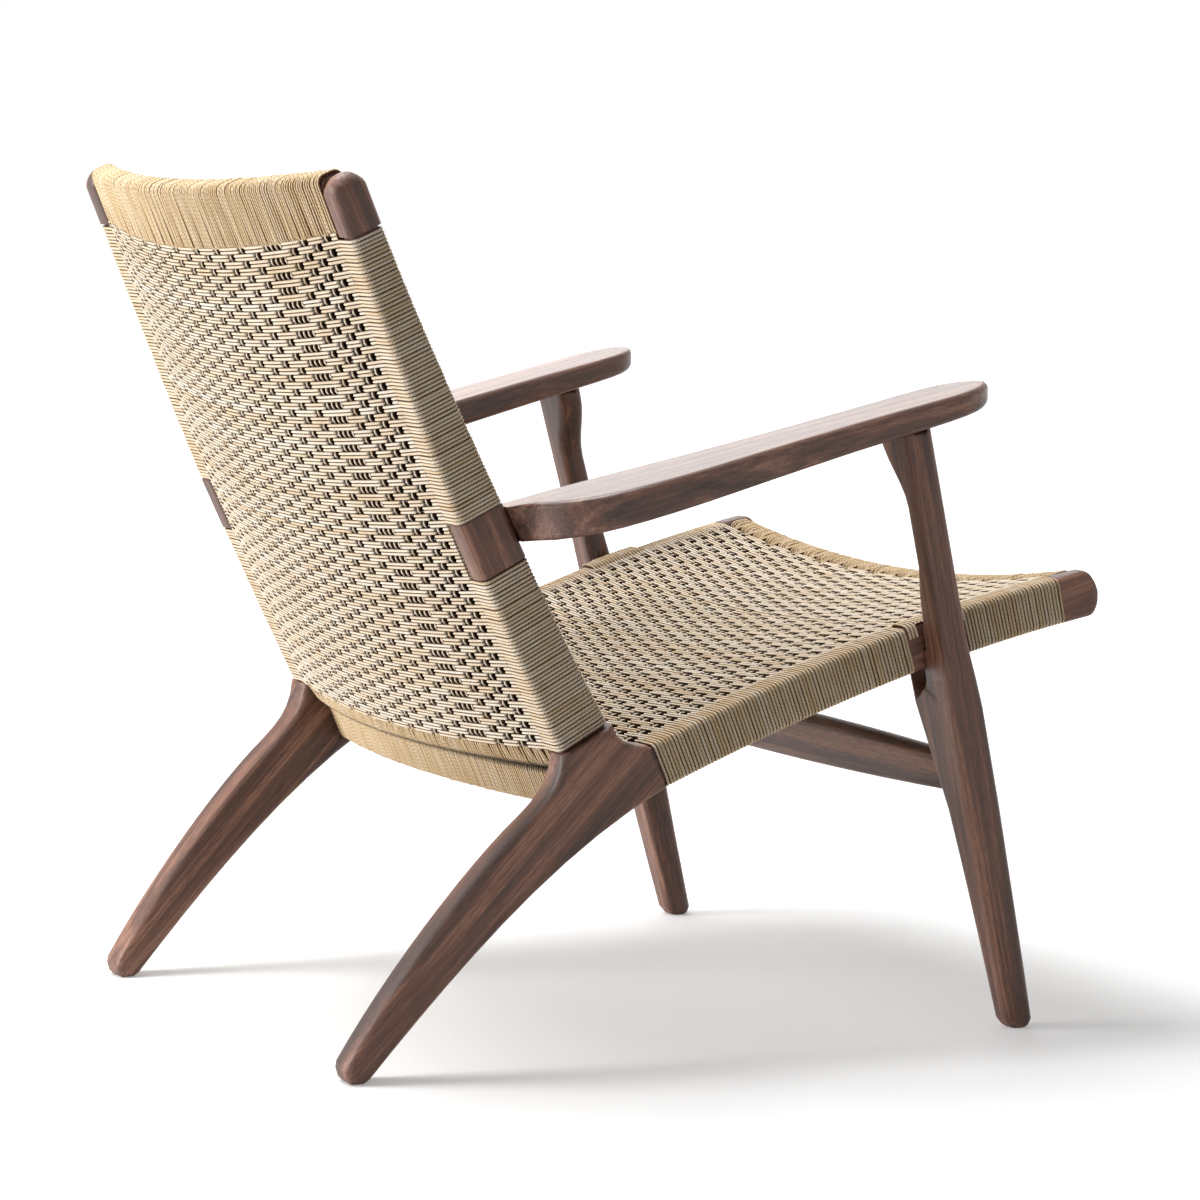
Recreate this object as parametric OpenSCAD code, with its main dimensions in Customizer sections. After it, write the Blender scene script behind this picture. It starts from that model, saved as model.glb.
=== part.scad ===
// Low lounge armchair: a walnut frame of sawn and shaped members, with the seat
// and the back wound and woven in paper cord. Millimetres, +Z up, the sitter
// faces -Y, and the origin is on the floor below the middle of the chair.

/* [Side frames] */
// Distance from the middle of the chair to each side frame, at y = 0
side_x = 277.5; // [240:0.5:320]
// Angle at which the side frames open towards the front
side_toe = 3.4; // [0:0.1:6]
// Thickness of the rear legs
leg_t = 33; // [28:0.5:38]
// How far the rear leg's middle lies inside the side rail's
leg_in = 2.5; // [0:0.5:5]
// Thickness of the seat's side rails, cord included
rail_t = 24; // [20:0.5:30]
// Height of the seat's four rails, cord included
rail_h = 40; // [34:0.5:50]
// Thickness of the layer of cord
cord_t = 3; // [2:0.1:4]

/* [Seat] */
// Height of the middle of the side rail at its rear end
rail_rear_z = 242; // [225:1:260]
// Height of the middle of the side rail at its front tip
rail_front_z = 369; // [345:1:395]
// How far the front rail dips in the middle
front_dish = 22; // [5:1:35]
// Thickness of the front rail, cord included
front_rail_t = 24; // [20:1:30]
// How far the seat's rear rail bows backwards in the middle
rear_bow = 28; // [0:1:40]

/* [Back] */
// Distance from the middle of the chair to each back post
post_x = 263.5; // [235:0.5:300]
// Thickness of the back posts, cord included
post_t = 27; // [24:0.5:30]
// Width of the back posts at the seat, cord included
post_foot_w = 51; // [44:0.5:54]
// Width of the back posts at the arms
post_mid_w = 43.5; // [38:0.5:48]
// Width of the back posts at the top
post_top_w = 31; // [28:0.5:36]
// Height of the top of the back posts
post_top_z = 730; // [690:1:780]
// How far the back's rails bow backwards in the middle
back_bow = 29; // [0:1:40]
// Height of the top rail, cord included
top_rail_h = 52; // [40:1:60]
// Height of the back's bottom rail, cord included
bottom_rail_h = 30; // [26:1:32]
// Thickness of the back's two rails, cord included
back_rail_t = 24; // [20:1:28]

/* [Front legs] */
// Distance from the middle of the chair to the outer side of each front foot
foot_out_x = 322; // [300:1:350]
// Width of the front foot
foot_w = 29; // [24:1:34]
// How far the outer side leans out, up to the arm
leg_lean = 25; // [10:1:35]
// Thickness of the front leg above the seat
prong_t = 27; // [20:1:30]
// Thickness of the short prong inside the side rail
horn_t = 7; // [4:0.5:10]
// Height of the short prong above the bottom of its slot
horn_h = 32; // [20:1:44]
// Depth of the front leg, front to back, at its widest
leg_depth = 33; // [28:1:40]
// Depth of the front leg under the arm
leg_top_depth = 25; // [20:1:32]

/* [Stretcher] */
// Height of the middle of the stretcher at its ends
stretcher_z = 221; // [180:1:250]
// Height of the stretcher's section at the ends
stretcher_end_h = 33; // [26:1:40]
// Height of the stretcher's section in the middle
stretcher_mid_h = 44; // [26:1:50]
// Thickness of the stretcher
stretcher_t = 22; // [18:1:26]

/* [Arms] */
// Height of the arm's top face at y = 0
arm_z = 506; // [480:1:530]
// Rise of the top face towards the front, per millimetre
arm_rise = 0.223; // [0.1:0.001:0.3]
// Thickness of the arm at the front tip
arm_tip_t = 20; // [15:0.5:24]
// Thickness of the arm at the back post
arm_root_t = 32; // [26:0.5:36]
// Width of the arm's blade
arm_w = 76; // [60:1:90]

/* [Joints] */
// Diameter of the dowels
dowel_d = 8; // [6:0.5:9]
// Length of a dowel
dowel_l = 36; // [24:1:44]
// Gap all round a dowel in its bore, and at its ends
dowel_gap = 0.1; // [0.05:0.05:0.3]
// Diameter of the round tenons of the stretcher and of the front legs
tenon_d = 16; // [12:0.5:18]
// Length of the round tenon at the top of each front leg
arm_tenon_l = 12; // [8:0.5:14]
// Length of the round tenon at each end of the stretcher
stretcher_tenon_l = 18; // [10:1:24]
// Gap between the side rail and the slot of the front leg
slot_gap = 0.3; // [0.1:0.1:1]
// Gap between a butted end and the face it meets
butt_gap = 0.1; // [0:0.05:0.3]
// Gap between the cord and the wood or cord beside it
cord_gap = 0.3; // [0.2:0.1:0.6]

/* [Hidden] */

walnut = "#5d463c";
walnut_light = "#7a5c4e";
cord_pale = "#dccba4";
cord_tan = "#b99d6b";
maple = "#d8bf94";

toe = tan(side_toe);

// ---- curves, outlines and lofts ----

function lerp(a, b, t) = a + (b - a) * t;
function unit(v) = v / norm(v);
function quarter_turn(v) = [-v.y, v.x];

// Points of a cubic curve with two handles, n steps
function bezier(p, n) = [for (k = [0:n]) let (t = k / n, s = 1 - t)
    s * s * s * p[0] + 3 * s * s * t * p[1] + 3 * s * t * t * p[2] + t * t * t * p[3]];

// Direction of the same curve at one place
function bezier_way(p, t) = let (s = 1 - t)
    unit(s * s * (p[1] - p[0]) + 2 * s * t * (p[2] - p[1]) + t * t * (p[3] - p[2]));
function bezier_at(p, t) = let (s = 1 - t)
    s * s * s * p[0] + 3 * s * s * t * p[1] + 3 * s * t * t * p[2] + t * t * t * p[3];

// A smooth curve through a few rows of values, n steps from row to row
function through(rows, n) = let (last = len(rows) - 1) concat(
    [for (i = [0:last - 1], k = [0:n - 1]) let (
        t = k / n, a = rows[max(i - 1, 0)], b = rows[i], c = rows[i + 1], d = rows[min(i + 2, last)])
        0.5 * (2 * b + (c - a) * t + (2 * a - 5 * b + 4 * c - d) * t * t
            + (3 * b - a - 3 * c + d) * t * t * t)],
    [rows[last]]);

// A row of values at one height, on straight lines between the rows
function at_height(rows, z) = let (
    i = max([0, for (k = [0:len(rows) - 2]) if (rows[k][0] <= z) k]),
    t = (z - rows[i][0]) / (rows[i + 1][0] - rows[i][0]))
    lerp(rows[i], rows[i + 1], t);

// Rectangle w by h with round corners, from the middle, n points a corner
function round_rect(w, h, r, n = 4) = [for (q = [0:3], i = [0:n - 1]) let (
    a = 90 * q + 90 * i / (n - 1),
    sx = q == 0 || q == 3 ? 1 : -1,
    sy = q < 2 ? 1 : -1)
    [sx * (w / 2 - r) + r * cos(a), sy * (h / 2 - r) + r * sin(a)]];

// A clockwise outline drawn in by d all round
function drawn_in(p, d) = let (n = len(p)) [for (i = [0:n - 1]) let (
    before = unit(p[i] - p[(i + n - 1) % n]),
    after = unit(p[(i + 1) % n] - p[i]),
    way = unit(before + after))
    p[i] - quarter_turn(way) * d / max(0.7, way * after)];

// Solid through rings that all have the same number of points, wound either way.
// Ends that are curved or bent are closed by a strip between the two halves of the ring.
module loft(rings, strip_ends = false) {
    n = len(rings[0]);
    last = len(rings) - 1;
    mid = floor(last / 2);
    a = rings[mid][floor(n / 3)] - rings[mid][0];
    b = rings[mid][floor(2 * n / 3)] - rings[mid][0];
    ahead = cross(a, b) * (rings[last][0] - rings[0][0]) > 0;
    walls = [for (i = [0:last - 1], j = [0:n - 1]) let (
        p = i * n + j, q = i * n + (j + 1) % n) each [[p, p + n, q + n], [p, q + n, q]]];
    strip = [for (k = [0:ceil(n / 2) - 2]) each [[k, k + 1, n - 2 - k], [k, n - 2 - k, n - 1 - k]]];
    cap = strip_ends ? [for (face = strip) if (face[1] < face[2]) face] : [[for (j = [0:n - 1]) j]];
    faces = concat(walls, cap, [for (face = cap) turned([for (j = face) last * n + j])]);
    polyhedron(points = [for (ring = rings) each ring],
        faces = [for (face = faces) ahead ? face : turned(face)]);
}
function turned(face) = [for (k = [len(face) - 1:-1:0]) face[k]];

// Steps of a rounded edge, from the lower face to the upper one: where each
// layer lies, -1 to 1 with the round part taken off, and how far it is drawn in
function edge_steps(n = 3) = concat(
    [for (k = [n:-1:0]) [-1, sin(90 * k / n), 1 - cos(90 * k / n)]],
    [for (k = [0:n]) [1, sin(90 * k / n), 1 - cos(90 * k / n)]]);

// ---- places that the members share ----

// The side frames are laid out in an upright plane: u runs backwards, z up
rail_curve = [[68.5, rail_rear_z], [-71.5, rail_rear_z + 59],
    [-200, rail_front_z - 26], [-334, rail_front_z - 1]];
rail_way = bezier_way(rail_curve, 0);
rail_up = -quarter_turn(rail_way);
seam = rail_curve[0];
rail_drop = rail_rear_z - 242;

// Across the chair, the place of the side plane at a depth y
function side_at(y) = side_x - toe * y;

// The posts' middle line, in the plane of y and z
post_curve = [[130.5, rail_rear_z + 26], [206, lerp(rail_rear_z, post_top_z, 0.344)],
    [282, lerp(rail_rear_z, post_top_z, 0.693)], [341, post_top_z - 2]];
post_way = bezier_way(post_curve, 0);
post_foot = post_curve[0];

// The chair's middle, front to back, between the rail tips and the bowed top rail
mid_y = 17;

module placed() translate([0, -mid_y, 0]) children();

// A piece of one side: +1 is the sitter's left, at +X
module on_side(s) mirror([s < 0 ? 1 : 0, 0, 0]) children();

// Stands what is drawn as x across, u back and z up in the side plane
module in_side_plane() translate([side_x, 0, 0]) rotate([0, 0, side_toe]) children();

// Points along a member, and the sizes that the joints share
bore_d = dowel_d + 2 * dowel_gap;
bore_l = dowel_l + 2 * dowel_gap;
leg_u = -190;
window_rear_u = -164;
window_front_u = -216;
tip_u = -309;
front_rail_u = -325;
foot_y = -265;
leg_top_y = -143;
knee_z = 190;
knee_swell = 11.5;
slot_z = 295;
flare = 26;
arm_out_x = 357;
arm_round = 5;

// The place on a curve, 0 to 1, at a depth u, found by halving
function place(curve, u, a = 0, b = 1, n = 20) = let (m = (a + b) / 2)
    n == 0 ? m : (bezier_at(curve, m).x - u) * (curve[3].x - curve[0].x) > 0
        ? place(curve, u, a, m, n - 1) : place(curve, u, m, b, n - 1);
function rail_slope(t) = let (w = bezier_way(rail_curve, t)) atan2(w.y, -w.x);
function post_lean(t) = let (w = bezier_way(post_curve, t)) -atan2(w.x, w.y);

// ---- rear legs ----

leg_round = 7;
leg_top_seam = seam + rail_up * rail_h / 2;
leg_low_seam = seam - rail_up * rail_h / 2;
post_back = post_foot - quarter_turn(post_way) * post_foot_w / 2;
post_front = post_foot + quarter_turn(post_way) * post_foot_w / 2;
crook = [182, 206 + rail_drop];
leg_outline = concat(
    [[336, 0], [326, 0]],
    bezier([[321, 3], [254, 76], [162, 174 + rail_drop / 2], leg_low_seam], 10),
    [leg_low_seam + rail_way * 12, leg_top_seam + rail_way * 12],
    bezier([leg_top_seam, [93, 262 + rail_drop], [104, 265 + rail_drop], post_front], 4),
    [post_front + post_way * 14, post_back + post_way * 14],
    bezier([post_back, [155, 234 + rail_drop], [164, 222 + rail_drop], crook], 5),
    [for (k = [1:12]) bezier_at([crook, [230, 166 + rail_drop / 2], [300, 82], [341, 17]], k / 12)],
    [[342, 11], [340, 4]]);

module rear_leg(s) color(walnut) placed() on_side(s) difference() {
    in_side_plane() translate([-leg_in, 0, 0]) loft(strip_ends = true, rings =
        [for (e = edge_steps()) [for (p = drawn_in(leg_outline, leg_round * e[2]))
            [e[0] * (leg_t / 2 - leg_round + leg_round * e[1]), p.x, p.y]]]);
    in_side_plane() past_seam() block();
    above_post_foot() block();
    side_rail_dowels_at(bore_d, bore_l);
    post_foot_dowels_at(bore_d, bore_l);
    rear_rail_dowels_at(bore_d, bore_l);
    bottom_rail_dowels_at(bore_d, bore_l);
}

// A block that lies above z = 0, for cutting ends off
module block() translate([-60, -60, 0]) cube(120);

// Turns z to point forwards along the side rail, from its seam with the leg
module past_seam() translate([0, seam.x, seam.y]) rotate([90 - rail_slope(0), 0, 0]) children();

// Turns z to point up along the post, from its foot
module above_post_foot() translate([post_x, post_foot.x, post_foot.y])
    rotate([post_lean(0), 0, 0]) children();

// ---- seat side rails ----

rail_round = 6;
core_t = rail_t - 2 * cord_t;
core_h = rail_h - 2 * cord_t;
core_round = 5;
// Share of a member's curve that a shoulder of its rebates takes
shoulder = 0.002;
t_rear = place(rail_curve, window_rear_u);
t_front = place(rail_curve, window_front_u);
t_tip = place(rail_curve, tip_u);

// A ring across the side rail at a place on its curve
function rail_ring(t, w, h, r, n = 4) = let (
    c = bezier_at(rail_curve, t), up = -quarter_turn(bezier_way(rail_curve, t)))
    [for (p = round_rect(w, h, r, n)) [p.x, c.x + up.x * p.y, c.y + up.y * p.y]];
function rail_rings(a, b, steps, w, h, r, n = 4) =
    [for (k = [0:steps]) rail_ring(lerp(a, b, k / steps), w, h, r, n)];

// The round nose at the front end of the side rail
function nose_rings(reach = 12, n = 6) = let (c = rail_curve[3],
    way = bezier_way(rail_curve, 1), up = -quarter_turn(way))
    [for (k = [1:n]) let (a = 84 * k / n, h = rail_h * cos(a))
        [for (p = round_rect(rail_t - 7 * (1 - cos(a)), h, min(rail_round, h / 2 - 0.1)))
            [p.x, c.x + way.x * reach * sin(a) + up.x * p.y,
                c.y + way.y * reach * sin(a) + up.y * p.y]]];

module seat_side_rail(s) color(walnut) placed() on_side(s) difference() {
    in_side_plane() loft(concat(
        rail_rings(0.0005, t_rear, 7, core_t, core_h, rail_round - 2),
        rail_rings(t_rear + shoulder, t_front, 2, rail_t, rail_h, rail_round),
        rail_rings(t_front + shoulder, t_tip, 3, core_t, core_h, rail_round - 2),
        rail_rings(t_tip + shoulder, 1, 1, rail_t, rail_h, rail_round),
        nose_rings()));
    side_rail_dowels_at(bore_d, bore_l);
    front_rail_dowels_at(bore_d, bore_l);
    fork_dowels_at(bore_d, bore_l);
}

// ---- rails across the chair ----

// Where a member across the chair lies at x, bowed or dipped by a vector in its middle
function across(x, half, end, bow) = end + bow * (1 - pow(x / half, 2));

// Rings in upright planes from -half to half, w by h, leaning backwards by an angle
function across_rings(half, end, bow, steps, w, h, r, lean, n = 4) = [for (k = [0:steps]) let (
    x = half * (2 * k / steps - 1), c = across(x, half, end, bow))
    [for (p = round_rect(w, h, r, n))
        [x, c.x + p.x * cos(lean) + p.y * sin(lean), c.y - p.x * sin(lean) + p.y * cos(lean)]]];

// The rings of a member that is drawn longer than its place, for cutting to length
over = 1.02;
function over_long(half, end, bow, w, h, grown, lean) = across_rings(half * over,
    end - (over * over - 1) * bow, over * over * bow, 10,
    w - 2 * cord_t + 2 * grown, h - 2 * cord_t + 2 * grown, core_round + grown, lean);

// A member with its ends cut off by the side planes, moved in by a distance
module between_side_planes(inside) intersection() {
    children();
    linear_extrude(height = 900) polygon([
        for (s = [-1, 1]) each [for (y = [400 * s, -400 * s]) [s * (side_at(y) - inside), y]]]);
}

// Across the middle of the chair and its mirror image
module both_sides() {
    children();
    mirror([1, 0, 0]) children();
}

front_t = place(rail_curve, front_rail_u);
front_end = bezier_at(rail_curve, front_t);
front_lean = rail_slope(front_t);
front_half = side_at(front_rail_u) - rail_t / 2;
front_bow = [0, -front_dish];

// The rear rail lies a little behind the seam of the side rails and the rear legs
rear_rail_back = 45;
rear_end = seam - rail_way * rear_rail_back;
seat_bow = [rear_bow, 0];
rear_lean = rail_slope(0);
rear_half = side_at(rear_end.x) - leg_in - leg_t / 2;

// Wood of the front rail; grown makes room round it
module front_rail_wood(grown = 0) between_side_planes(rail_t / 2 + butt_gap - grown)
    loft(over_long(front_half, front_end, front_bow, front_rail_t, rail_h, grown, front_lean));

module seat_front_rail() color(walnut) placed() difference() {
    front_rail_wood();
    both_sides() front_rail_dowels_at(bore_d, bore_l);
}

module rear_rail_wood(grown = 0) between_side_planes(leg_in + leg_t / 2 + butt_gap - grown)
    loft(over_long(rear_half, rear_end, seat_bow, back_rail_t, rail_h, grown, rear_lean));

module seat_rear_rail() color(walnut) placed() difference() {
    rear_rail_wood();
    both_sides() rear_rail_dowels_at(bore_d, bore_l);
}

// The bottom rail's ends lie below and behind the middle of the posts' feet
post_in = post_x - post_t / 2;
bottom_inset = 8.5;
bottom_end = post_foot - (post_way + quarter_turn(post_way)) * bottom_inset;
bottom_bow = [back_bow, -4];
bottom_lean = post_lean(0);
top_t = 0.952;
top_inset = 3;
top_end = bezier_at(post_curve, top_t) - quarter_turn(bezier_way(post_curve, top_t)) * top_inset;
top_bow = -quarter_turn(bezier_way(post_curve, 1)) * back_bow;
top_lean = post_lean(1);

module back_rail_wood(end, bow, h, lean, grown = 0)
    loft(across_rings(post_in - butt_gap + grown, end, bow, 10,
        back_rail_t - 2 * cord_t + 2 * grown, h - 2 * cord_t + 2 * grown, core_round + grown, -lean));

module back_bottom_rail() color(walnut) placed() difference() {
    back_rail_wood(bottom_end, bottom_bow, bottom_rail_h, bottom_lean);
    both_sides() bottom_rail_dowels_at(bore_d, bore_l);
}

module back_top_rail() color(walnut) placed() difference() {
    back_rail_wood(top_end, top_bow, top_rail_h, top_lean);
    both_sides() top_rail_dowels_at(bore_d, bore_l);
}

// ---- back posts ----

// The posts are bare between two places of their curve, where the arms are fixed,
// and above the lower edge of the top rail
window_low_t = 0.318;
window_high_t = 0.415;
wrap_top_t = place(post_curve,
    (bezier_at(post_curve, top_t) - bezier_way(post_curve, top_t) * top_rail_h / 2).x);
dome = 13;
post_round = 7;
post_widths = [[0, post_foot_w], [0.25, lerp(post_foot_w, post_mid_w, 0.8)], [0.43, post_mid_w],
    [0.78, lerp(post_mid_w, post_top_w, 0.85)], [0.92, post_top_w], [1, post_top_w]];
function post_w(t) = at_height(post_widths, t)[1];

// A ring across the post at a place on its curve
function post_ring(t, w, d, r, on = 0, n = 4) = let (
    c = bezier_at(post_curve, t), way = bezier_way(post_curve, t), out = quarter_turn(way))
    [for (p = round_rect(w, d, r, n))
        [post_x + p.x, c.x + way.x * on + out.x * p.y, c.y + way.y * on + out.y * p.y]];

t_cap = 1 - dome / norm(post_curve[3] - post_curve[2]) / 3;

function post_rings(a, b, steps, inset, r, n = 4) = [for (k = [0:steps]) let (t = lerp(a, b, k / steps))
    post_ring(t, post_t - 2 * inset, post_w(t) - 2 * inset, r, 0, n)];

module back_post(s) color(walnut) placed() on_side(s) difference() {
    loft(concat(
        post_rings(0, window_low_t, 5, cord_t, post_round - 2),
        post_rings(window_low_t + shoulder, window_high_t - shoulder, 2, 0, post_round),
        post_rings(window_high_t, wrap_top_t, 6, cord_t, post_round - 2),
        post_rings(wrap_top_t + shoulder, t_cap, 1, 0, post_round),
        [for (k = [1:5]) let (a = 84 * k / 5, w = (post_t - 3) * cos(a) + 3, d = (post_top_w - 3) * cos(a) + 3)
            post_ring(t_cap, w, d, min(post_round + 6 * sin(a), w / 2 - 0.1), dome * sin(a))]));
    post_foot_dowels_at(bore_d, bore_l);
    armrest_dowels_at(bore_d, bore_l);
    top_rail_dowels_at(bore_d, bore_l);
}

// ---- front legs ----

function leg_y(z) = lerp(foot_y, leg_top_y, z / under_arm(leg_top_y));
function leg_out(z) = foot_out_x + leg_lean * z / under_arm(leg_top_y);

slot_mid_x = side_at(leg_u);
slot_low = slot_mid_x - rail_t / 2 - slot_gap - horn_t;
prong_in = slot_mid_x + rail_t / 2 + slot_gap;
horn_z = slot_z + horn_h;
crotch_z = slot_z - 14;
knee_in = leg_out(knee_z) - foot_w - knee_swell;
crotch_in = slot_low + 2;
arm_under_z = under_arm(leg_top_y);
// The prong widens towards the arm from here up
flare_z = arm_under_z - 66;

// Rows of the leg's section: height, inner side, outer side, depth, corner radius
leg_rows = concat(
    [[0, leg_out(0) - foot_w + 6, leg_out(0) - 6, 14, 5],
     [2, leg_out(2) - foot_w + 3, leg_out(2) - 3, 19, 7],
     [8, leg_out(8) - foot_w, leg_out(8), 25, 9]],
    [for (k = [1:5]) let (t = k / 5, z = lerp(8, knee_z, t))
        [z, leg_out(z) - foot_w - knee_swell * pow(t, 1.6), leg_out(z), lerp(25, leg_depth, t), 8]],
    [[crotch_z, crotch_in, leg_out(crotch_z), leg_depth, 7],
     [slot_z + 10, slot_low, leg_out(slot_z + 10), leg_depth - 3, 7],
     [horn_z, slot_low, leg_out(horn_z), leg_depth - 7, 7],
     [horn_z + 0.5, prong_in, leg_out(horn_z + 0.5), leg_depth - 7, 7]],
    [for (k = [1:4]) let (t = k / 4, z = lerp(horn_z + 22, flare_z, t))
        [z, max(lerp(prong_in, leg_out(z) - prong_t, min(1, 2 * t)), prong_in), leg_out(z),
            leg_top_depth, 8]],
    [for (k = [1:6]) let (t = k / 6, z = flare_z + 60 * t)
        [z, leg_out(z) - prong_t - flare * t * t * (3 - 2 * t), leg_out(z), leg_top_depth, 8]],
    [[arm_under_z + 14, leg_out(arm_under_z) - prong_t - flare, leg_out(arm_under_z + 14), leg_top_depth, 8]]);

module front_leg(s) color(walnut) placed() on_side(s) difference() {
    union() {
        difference() {
            loft([for (row = leg_rows) [for (p = round_rect(row[2] - row[1], row[3], row[4]))
                [(row[1] + row[2]) / 2 + p.x, leg_y(row[0]) + p.y, row[0]]]]);
            above_leg() translate([0, 0, -butt_gap]) block();
            slot();
        }
        above_leg() translate([0, 0, -4]) cylinder(d = tenon_d, h = 4 + arm_tenon_l, $fn = 48);
    }
    fork_dowels_at(bore_d, bore_l);
    stretcher_tenon(tenon_d + 2 * dowel_gap, stretcher_tenon_l + dowel_gap);
}

// The slot that the side rail lies in: a round bottom and straight sides
slot_slope = rail_slope(place(rail_curve, leg_u));
module slot() in_side_plane() translate([0, leg_u, slot_z + rail_t / 2 + slot_gap])
    rotate([90 - slot_slope, 0, 0]) translate([0, 0, -50]) {
        cylinder(d = rail_t + 2 * slot_gap, h = 100, $fn = 48);
        translate([-rail_t / 2 - slot_gap, 0, 0]) cube([rail_t + 2 * slot_gap, rail_h + 30, 100]);
    }

// Turns z to point out of the arm's underside, from the middle of the leg's top
module above_leg() translate([leg_out(arm_under_z) - (prong_t + flare) / 2, leg_top_y, arm_under_z])
    rotate([-atan(under_rise), 0, 0]) children();

// ---- stretcher ----

stretcher_y = leg_y(stretcher_z);
stretcher_in = lerp(knee_in, crotch_in, (stretcher_z - knee_z) / (crotch_z - knee_z));

module stretcher_tenon(d, l) translate([stretcher_in - 6, stretcher_y, stretcher_z])
    rotate([0, 90, 0]) cylinder(d = d, h = l + 6, $fn = 48);

// Everything beyond the leaning inner face of the front leg
module beyond_leg(gap) translate([stretcher_in - gap, stretcher_y - 60, stretcher_z])
    rotate([0, -atan((knee_in - crotch_in) / (crotch_z - knee_z)), 0])
    translate([0, 0, -90]) cube([60, 120, 180]);

module front_stretcher() color(walnut) placed() union() {
    difference() {
        loft([for (k = [0:10]) let (
            x = (stretcher_in + 12) * (2 * k / 10 - 1), bulge = 1 - pow(x / stretcher_in, 2),
            h = lerp(stretcher_end_h, stretcher_mid_h, bulge))
            [for (p = round_rect(stretcher_t, h, stretcher_t / 2 - 2))
                [x, stretcher_y + p.x, stretcher_z + p.y]]]);
        both_sides() beyond_leg(butt_gap);
    }
    both_sides() stretcher_tenon(tenon_d, stretcher_tenon_l);
}

// ---- arms ----

under_rise = arm_rise + (arm_root_t - arm_tip_t) / 400;
function arm_top(y) = arm_z - arm_rise * y;
function under_arm(y) = arm_top(y) - lerp(arm_tip_t, arm_root_t, (y + 200) / 400);
root_y = 190;

arm_blade = arm_out_x - arm_w;
arm_outline = through([[post_x + 14, root_y], [arm_out_x - 44, 178], [arm_out_x - 15, 150],
        [arm_out_x - 3, 112], [arm_out_x, 60], [arm_out_x - 3, 0], [arm_out_x - 5, -80],
        [arm_out_x - 1, -150], [arm_out_x - 2, -184], [arm_out_x - 12, -206],
        [arm_out_x - 32, -219], [arm_blade + 22, -213], [arm_blade + 5, -196],
        [arm_blade, -168], [arm_blade - 1, -110], [arm_blade - 5, -30],
        [arm_blade - 12, 40], [arm_blade - 22, 110], [post_x - 10, 160], [post_x - 12, root_y]], 2);

// Height of the arm at a depth, for one step of its rounded edge
function arm_level(y, e) = (arm_top(y) + under_arm(y)) / 2
    + e[0] * ((arm_top(y) - under_arm(y)) / 2 - arm_round + arm_round * e[1]);

// Depth at which the same step meets the post's leaning front face
function arm_end(e) = let (lean = arm_root_way.x / arm_root_way.y,
    gap = butt_gap * norm(arm_root_way) / arm_root_way.y,
    z = arm_level(0, e), slope = arm_level(1, e) - z)
    (arm_root.x - gap + lean * (z - arm_root.y)) / (1 - lean * slope);

module armrest(s) color(walnut_light) placed() on_side(s) difference() {
    loft(strip_ends = true, rings = [for (e = edge_steps()) let (
        row = drawn_in(arm_outline, arm_round * e[2]),
        last = len(row) - 1)
        [for (k = [0:last]) let (y = k == 0 || k == last ? arm_end(e) : row[k].y)
            [row[k].x, y, arm_level(y, e)]]]);
    armrest_dowels_at(bore_d, bore_l);
    above_leg() translate([0, 0, -10]) cylinder(d = tenon_d + 2 * dowel_gap,
        h = 10 + arm_tenon_l + dowel_gap, $fn = 48);
}

// Turns z to point forwards out of the post's front face, from the middle of the arm's root
module at_arm_root() translate([post_x, arm_root.x, arm_root.y])
    rotate([atan2(arm_root_way.y, arm_root_way.x), 0, 0]) children();

// The posts' front face, where the arms meet it
function post_face(t) = bezier_at(post_curve, t) + quarter_turn(bezier_way(post_curve, t)) * post_w(t) / 2;
arm_at = lerp(window_low_t, window_high_t, 0.54);
arm_root = post_face(arm_at);
arm_root_way = post_face(arm_at + 0.03) - post_face(arm_at - 0.03);

// ---- cord ----

// Winding round a member: outer solid less the room for the wood
module wound() difference() {
    children(0);
    children(1);
}

module rail_sleeve(a, b, n) wound() {
    loft(rail_rings(a, b, n, rail_t, rail_h, rail_round, 3));
    loft(rail_rings(a - 0.01, b + 0.01, n, core_t + 2 * cord_gap, core_h + 2 * cord_gap,
        rail_round - 2, 3));
}

module seat_rail_wrap(s) color(cord_tan) placed() on_side(s) in_side_plane() {
    rail_sleeve(0.003, t_rear - shoulder / 2, 7);
    rail_sleeve(t_front + 0.003, t_tip - 0.001, 4);
}

module front_rail_wrap() color(cord_pale) placed() wound() {
    between_side_planes(rail_t / 2 + cord_gap) loft(across_rings(front_half, front_end,
        front_bow, 8, front_rail_t, rail_h, 8, front_lean, 3));
    front_rail_wood(cord_gap);
}

module rear_rail_wrap() color(cord_tan) placed() wound() {
    between_side_planes(leg_in + leg_t / 2 + cord_gap) loft(across_rings(rear_half, rear_end,
        seat_bow, 8, back_rail_t, rail_h, 8, rear_lean, 3));
    rear_rail_wood(cord_gap);
}

module back_rail_wrap(end, bow, h, lean, out) loft(across_rings(post_in - out, end, bow, 8,
    back_rail_t + 2 * (cord_gap - out), h + 2 * (cord_gap - out), 8, -lean, 3));

module top_rail_wrap() color(cord_pale) placed() wound() {
    back_rail_wrap(top_end, top_bow, top_rail_h, top_lean, cord_gap);
    back_rail_wood(top_end, top_bow, top_rail_h, top_lean, cord_gap);
}

module bottom_rail_wrap() color(cord_tan) placed() wound() {
    back_rail_wrap(bottom_end, bottom_bow, bottom_rail_h, bottom_lean, cord_gap);
    back_rail_wood(bottom_end, bottom_bow, bottom_rail_h, bottom_lean, cord_gap);
}

module post_sleeve(a, b, steps) wound() {
    loft(post_rings(a, b, steps, 0, post_round, 3));
    loft(post_rings(a - 0.01, b + 0.01, steps, cord_t - cord_gap, post_round - 2, 3));
}

module post_wrap(s) color(cord_tan) placed() on_side(s) {
    post_sleeve(0.001, window_low_t - 0.001, 5);
    post_sleeve(window_high_t + 0.001, wrap_top_t - 0.001, 6);
}

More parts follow.
